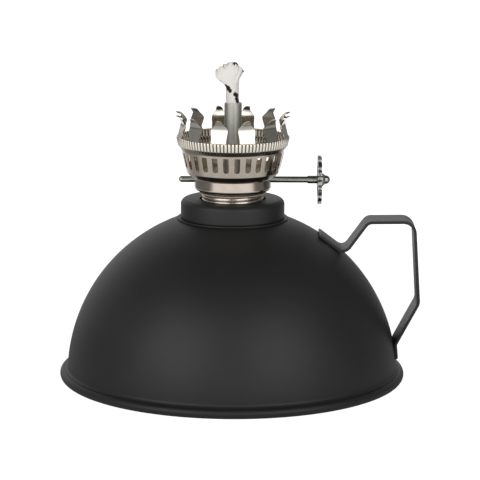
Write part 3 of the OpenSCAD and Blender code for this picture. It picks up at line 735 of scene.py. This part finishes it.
crest_line = [Vector(point) for point in (
    (-6.1, 113.5), (-6.75, 114.9), (-6.7, 116.5), (-5.3, 117.7), (-3.4, 118.7), (-1.6, 119.3),
    (-0.3, 119.75), (1.3, 119.4), (2.4, 118.2), (3.5, 117.1), (4.0, 116.3), (3.2, 115.3))]
strand_n, strand_reach, strand_r = 150, (0.95, 1.02), (0.16, 0.3)
root_half, root_z, root_rise, strand_bulge = 2.0, 110.9, 1.6, 0.5
dice = random.Random(5)
strands = []
for k in range(strand_n):
    spread = dice.uniform(0, len(crest_line) - 1.001)
    tip = crest_line[int(spread)].lerp(crest_line[int(spread) + 1], spread % 1)
    root = Vector((hang + root_half * (2 * spread / len(crest_line) - 1), root_z))
    tip = root.lerp(tip, dice.uniform(*strand_reach))
    layer = dice.uniform(-1, 1)
    middle = root.lerp(tip, 0.55) + Vector((0, strand_bulge))
    bottom, lower, upper, top = [Vector(point) * mm for point in (
        (root.x, 1.6 * layer, root.y), (root.x, 2.2 * layer, root.y + root_rise),
        (middle.x, 2.5 * layer, middle.y), (tip.x, 1.7 * layer, tip.y))]
    bpy.ops.object.select_all(action="DESELECT")
    bpy.ops.curve.primitive_bezier_curve_add()
    strand = bpy.context.object
    strand.data.bevel_depth = dice.uniform(*strand_r) * mm
    strand.data.bevel_resolution = 1
    strand.data.resolution_u = 8
    strand.data.use_fill_caps = True
    first, last = strand.data.splines[0].bezier_points
    first.co, first.handle_left, first.handle_right = bottom, bottom, lower
    last.co, last.handle_left, last.handle_right = top, upper, top
    strands.append(strand)
bpy.ops.object.select_all(action="DESELECT")
for strand in strands:
    strand.select_set(True)
bpy.context.view_layer.objects.active = strands[0]
bpy.ops.object.convert(target="MESH")
wick.select_set(True)
bpy.context.view_layer.objects.active = wick
bpy.ops.object.join()

# Cotton yarn: matt and fuzzy, a little uneven in its white. The tracer yarn comes to the
# surface in a few black flecks, each a centre and a radius, with edges that the fibres blur.
fibre_size, fuzz_depth, fleck_blur = 0.35, 0.15, 0.8
cotton_yarn, tree, shader = finish_of("cotton_yarn", Roughness=0.9)
place = add(tree, "ShaderNodeTexCoord", {}).outputs["Object"]
fibre = add(tree, "ShaderNodeTexNoise", {
    "Vector": place, "Scale": 1 / (fibre_size * mm), "Detail": 4})
tone = add(tree, "ShaderNodeMix", {
    0: fibre.outputs[0], 6: linear("#e6e0d8"), 7: linear("#fbf9f6")}, data_type="RGBA")
warped = add(tree, "ShaderNodeVectorMath", {
    0: fibre.outputs["Color"], "Scale": fleck_blur * mm}, operation="SCALE")
shifted = add(tree, "ShaderNodeVectorMath", {0: place, 1: warped.outputs[0]})
middle_shift = Vector((1, 1, 1)) * fleck_blur / 2
tracer = None
for fleck, radius in (((-2.5, -1.3, 110.8), 1.0), ((-1.9, -2.0, 110.1), 1.1),
                      ((-1.25, -2.4, 109.2), 0.9), ((0.8, -2.3, 107.9), 0.9),
                      ((1.4, -1.9, 107.3), 1.05), ((1.3, -2.0, 106.2), 0.85),
                      ((1.7, -1.7, 105.3), 1.0), ((0.8, -0.9, 119.2), 1.1),
                      ((3.7, -0.9, 116.5), 0.8)):
    off_centre = add(tree, "ShaderNodeVectorMath", {
        0: shifted.outputs[0], 1: (Vector(fleck) + middle_shift) * mm}, operation="DISTANCE")
    black = add(tree, "ShaderNodeMapRange", {
        0: off_centre.outputs["Value"], 1: radius * mm, 2: 0.75 * radius * mm})
    if tracer:
        black = add(tree, "ShaderNodeMath", {
            0: tracer, 1: black.outputs[0]}, operation="MAXIMUM")
    tracer = black.outputs[0]
dyed = add(tree, "ShaderNodeMix", {
    0: tracer, 6: tone.outputs[2], 7: linear("#1d191b")}, data_type="RGBA")
tree.links.new(dyed.outputs[2], shader.inputs["Base Color"])
fuzz = add(tree, "ShaderNodeBump", {
    "Height": fibre.outputs[0], "Strength": 0.5, "Distance": fuzz_depth * mm})
tree.links.new(fuzz.outputs[0], shader.inputs["Normal"])
soften(wick, 0, corner=60)
settle(wick, cotton_yarn, "wick", "cotton", "wick")

# Light table: the white glass that the lamp stands on, lit from inside. It is seen evenly
# white, as in a cut-out picture, and lights nothing itself.
table_size, glass_grey, glass_glow = 12, linear("#7a7a7a"), linear("#ffffff")
bpy.ops.object.select_all(action="DESELECT")
bpy.ops.mesh.primitive_plane_add(size=table_size)
table = bpy.context.object
table.name = "light_table"
white_glass = finish_of("white_glass", Base_Color=glass_grey, Roughness=0.9,
                        Emission_Color=glass_glow, Emission_Strength=1.0)[0]
table.data.materials.append(white_glass)
table.visible_diffuse = table.visible_glossy = table.visible_shadow = False

# Glow sheet: a second sheet in the table's place, out of the camera's sight, that lights
# the lamp. It glows in a strip before and behind the lamp that widens both ways, and less
# close to the lamp. The lengths here are in metres.
strip_edge, strip_dark, strip_low = 0.105, 0.24, 0.1
back_spread, front_spread = 0.11, -1.1
near_centre, near_r, far_r, near_glow = (0, 0.05, 0), 0.125, 0.25, 0.26
bpy.ops.object.select_all(action="DESELECT")
bpy.ops.mesh.primitive_plane_add(size=table_size)
glow_sheet = bpy.context.object
glow_sheet.name = "glow_sheet"
glow_glass, tree, shader = finish_of("backlit_glass", Base_Color=glass_grey, Roughness=0.9,
                                     Emission_Color=glass_glow)
place = add(tree, "ShaderNodeTexCoord", {}).outputs["Object"]
axes = add(tree, "ShaderNodeSeparateXYZ", {0: place}).outputs
to_back = add(tree, "ShaderNodeMath", {0: axes["Y"], 1: back_spread}, operation="MULTIPLY")
to_front = add(tree, "ShaderNodeMath", {0: axes["Y"], 1: front_spread}, operation="MULTIPLY")
wider = add(tree, "ShaderNodeMath", {
    0: to_back.outputs[0], 1: to_front.outputs[0]}, operation="MAXIMUM")
off_middle = add(tree, "ShaderNodeMath", {0: axes["X"]}, operation="ABSOLUTE")
past_strip = add(tree, "ShaderNodeMath", {
    0: off_middle.outputs[0], 1: wider.outputs[0]}, operation="SUBTRACT")
glow = add(tree, "ShaderNodeMapRange", {
    0: past_strip.outputs[0], 1: strip_edge, 2: strip_dark, 3: 1.0, 4: strip_low})
off_lamp = add(tree, "ShaderNodeVectorMath", {0: place, 1: near_centre}, operation="DISTANCE")
near = add(tree, "ShaderNodeMapRange", {
    0: off_lamp.outputs["Value"], 1: near_r, 2: far_r, 3: near_glow, 4: 1.0})
dimmed = add(tree, "ShaderNodeMath", {
    0: glow.outputs[0], 1: near.outputs[0]}, operation="MULTIPLY")
tree.links.new(dimmed.outputs[0], shader.inputs["Emission Strength"])
glow_sheet.data.materials.append(glow_glass)
glow_sheet.visible_camera = False

# Soft boxes: a tall one on each side of the camera, turned to the lamp's middle. Each has
# its place and size in metres and its power in watts.
box_aim = Vector((0, 0, 0.06))
for name, where, size, power in (("left_box", (-0.70, -0.80, 0.50), (0.95, 0.8), 4.9),
                                 ("right_box", (0.62, -0.86, 0.50), (0.88, 0.8), 4.3)):
    bpy.ops.object.light_add(type="AREA", location=where)
    box = bpy.context.object
    box.name = name
    box.data.shape = "RECTANGLE"
    box.data.size, box.data.size_y = size
    box.data.energy = power
    box.rotation_euler = (box_aim - Vector(where)).to_track_quat("-Z", "Y").to_euler()

# Room: a white backdrop behind the lamp that fades to the right, and grey walls that are
# palest at half height and to the left. They are dark at the table's level and overhead.
world = bpy.data.worlds.new("studio")
bpy.context.scene.world = world
world.use_nodes = True
tree = world.node_tree
way = add(tree, "ShaderNodeTexCoord", {}).outputs["Generated"]
toward = add(tree, "ShaderNodeSeparateXYZ", {0: way}).outputs
over_table = add(tree, "ShaderNodeMapRange", {0: toward["Z"], 1: 0.03, 2: 0.16})
under_roof = add(tree, "ShaderNodeMapRange", {0: toward["Z"], 1: 0.85, 2: 0.4})
wall_height = add(tree, "ShaderNodeMath", {
    0: over_table.outputs[0], 1: under_roof.outputs[0]}, operation="MULTIPLY")
wall_left = add(tree, "ShaderNodeMapRange", {0: toward["X"], 1: 0.6, 2: -0.3, 3: 0.6, 4: 1.0})
wall_light = add(tree, "ShaderNodeMath", {
    0: wall_height.outputs[0], 1: wall_left.outputs[0]}, operation="MULTIPLY")
walls = add(tree, "ShaderNodeMix", {
    0: wall_light.outputs[0], 6: linear("#303030"), 7: linear("#8f8f8f")}, data_type="RGBA")
drop_back = add(tree, "ShaderNodeMapRange", {0: toward["Y"], 1: 0.4, 2: 0.9})
drop_left = add(tree, "ShaderNodeMapRange", {0: toward["X"], 1: 0.05, 2: 0.4, 3: 1.0, 4: 0.3})
drop_light = add(tree, "ShaderNodeMath", {
    0: drop_back.outputs[0], 1: drop_left.outputs[0]}, operation="MULTIPLY")
room = add(tree, "ShaderNodeMix", {
    0: drop_light.outputs[0], 6: walls.outputs[2], 7: linear("#f4f4f4")}, data_type="RGBA")
tree.links.new(room.outputs[2], tree.nodes["Background"].inputs["Color"])

# Camera: a long lens a little above the lamp, fitted to the outlines of dome, foot and
# collar. The lamp's axis falls on the pixel that it has in the photograph.
view_distance, view_height = 0.9, 0.0426
view_down, view_roll = math.radians(11.765), math.radians(0.3)
photo_size, axis_pixel = 480, (232.35, 265.2)
lens_mm, sensor_mm = 178.8, 36
focal_pixels = lens_mm / sensor_mm * photo_size
pan = math.atan((photo_size / 2 - axis_pixel[0]) / focal_pixels)
tilt = math.atan((axis_pixel[1] - photo_size / 2) / focal_pixels)
bpy.ops.object.camera_add(
    location=(0, -view_distance * math.cos(view_down),
              view_height + view_distance * math.sin(view_down)),
    rotation=(math.pi / 2 - view_down + tilt, 0, -pan))
camera = bpy.context.object
aimed = camera.rotation_euler.to_matrix()
camera.rotation_euler = (aimed @ Matrix.Rotation(view_roll, 3, "Z")).to_euler()
camera.data.lens, camera.data.sensor_width = lens_mm, sensor_mm
bpy.context.scene.camera = camera
bpy.context.scene.view_settings.view_transform = "Standard"
